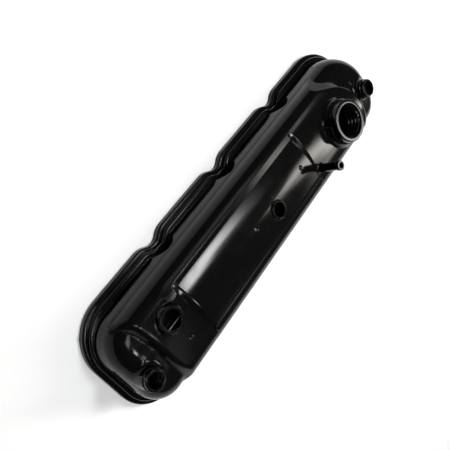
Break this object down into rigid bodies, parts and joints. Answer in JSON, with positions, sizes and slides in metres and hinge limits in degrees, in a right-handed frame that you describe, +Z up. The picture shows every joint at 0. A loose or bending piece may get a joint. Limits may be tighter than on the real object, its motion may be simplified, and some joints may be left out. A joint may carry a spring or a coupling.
{
  "type": "engine valve cover",
  "caption": "Long domed sheet-steel valve cover with a scalloped flange, stud bosses, a threaded oil filler neck, a hose pipe and a spot-welded baffle inside.",
  "frame": {"origin": "centre of the flange, on the plane where the cover sits on the cylinder head", "axes": "+X along the cover towards the oil filler, +Y towards the side with the scallops, +Z up out of the cylinder head"},
  "size_m": [0.421, 0.1094, 0.079],
  "materials": {
    "cover_paint": "gloss black paint on pressed steel",
    "neck_paint": "gloss black paint on turned steel",
    "pipe_paint": "gloss black paint on steel tube",
    "baffle_paint": "thin satin black paint on sheet steel"
  },
  "bodies": {
    "root": {"cover_shell": "cover_paint", "filler_neck": "neck_paint", "hose_pipe": "pipe_paint", "baffle_plate": "baffle_paint"}
  },
  "joints": []
}
